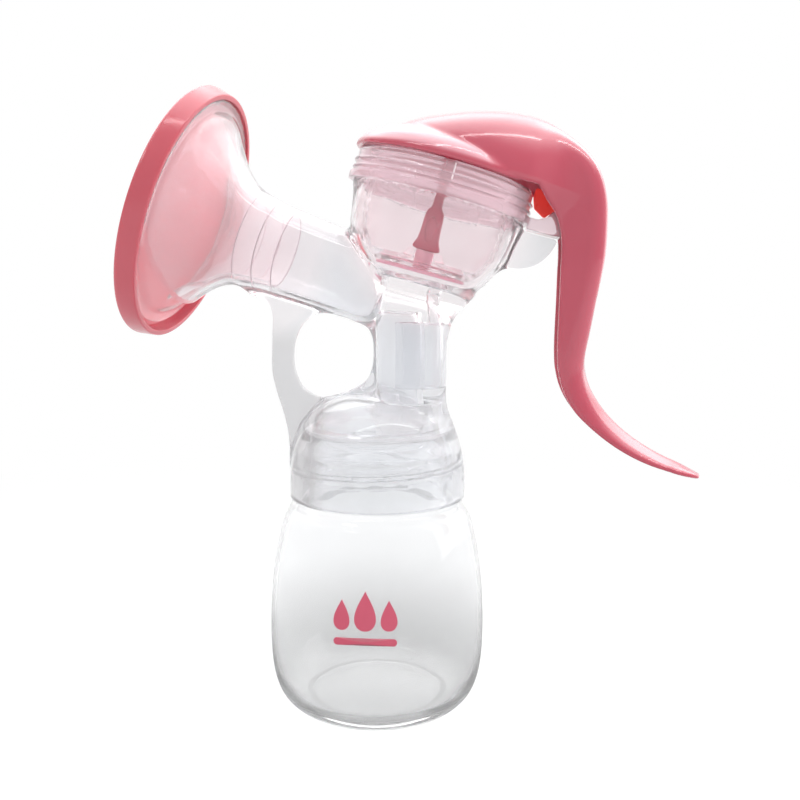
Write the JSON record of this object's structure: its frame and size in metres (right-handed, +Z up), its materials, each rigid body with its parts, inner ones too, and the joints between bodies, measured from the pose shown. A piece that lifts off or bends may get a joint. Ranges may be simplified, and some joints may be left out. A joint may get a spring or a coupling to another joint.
{
  "type": "manual breast pump",
  "caption": "Hand-squeezed breast pump: clear bottle and pump body, angled shield with dust cover, flexible diaphragm and a curved lever handle.",
  "frame": {"origin": "centre of the bottle's base face, where the pump stands", "axes": "+Z up along the bottle, the shield's mouth toward -X, the squeeze handle toward +X, Y across"},
  "size_m": [0.1626, 0.0744, 0.1787],
  "materials": {
    "clear_bottle": "clear glossy polypropylene, smooth inside and out",
    "clear_body": "clear glossy polypropylene moulding",
    "silicone": "translucent milky silicone, satin",
    "silicone_soft": "thin translucent silicone, satin",
    "pink_cover": "soft pink glossy plastic, slightly translucent",
    "pink_clear": "pale pink translucent plastic",
    "pink_inner": "rose pink plastic, moulded",
    "pink_gloss": "glossy rose pink plastic"
  },
  "bodies": {
    "bottle_base": {"bottle": "clear_bottle"},
    "seal": {"bottle_seal": "silicone"},
    "pump": {"pump_body": "clear_body", "duckbill_valve": "silicone", "massage_cushion": "silicone_soft", "retaining_ring": "pink_clear", "diaphragm": "silicone"},
    "cover": {"dust_cover": "pink_cover"},
    "rod": {"connecting_rod": "pink_inner", "piston_disc": "pink_inner"},
    "lever": {"handle": "pink_gloss", "rod_pin": "pink_inner", "pivot_pin": "pink_gloss"}
  },
  "joints": [
    {"name": "unscrew_rise", "type": "slide", "parent": "bottle_base", "child": "seal", "axis": [0, 0, 1], "range_m": [0, 0.01013]},
    {"name": "unscrew_turn", "type": "hinge", "parent": "seal", "child": "pump", "pos_m": [0, 0, 0.0613], "axis": [0, 0, 1], "range_deg": [0, 810]},
    {"name": "handle_squeeze", "type": "hinge", "parent": "pump", "child": "lever", "pos_m": [0.0545, 0, 0.139], "axis": [0, 1, 0], "range_deg": [0, 18], "stiffness_Nm_per_rad": 0.6, "deforming": ["diaphragm"]},
    {"name": "rod_lift", "type": "slide", "parent": "pump", "child": "rod", "axis": [0.2571, 0, 0.9664], "range_m": [0, 0.01151], "deforming": ["diaphragm"]},
    {"name": "cover_off", "type": "slide", "parent": "pump", "child": "cover", "axis": [-0.9428, 0, 0.3335], "range_m": [0, 0.03]}
  ],
  "couplings": [
    {"joint": "rod_lift", "follows": "handle_squeeze", "m_per_rad": 0.036323},
    {"joint": "unscrew_rise", "follows": "unscrew_turn", "m_per_rad": 0.0007162}
  ]
}
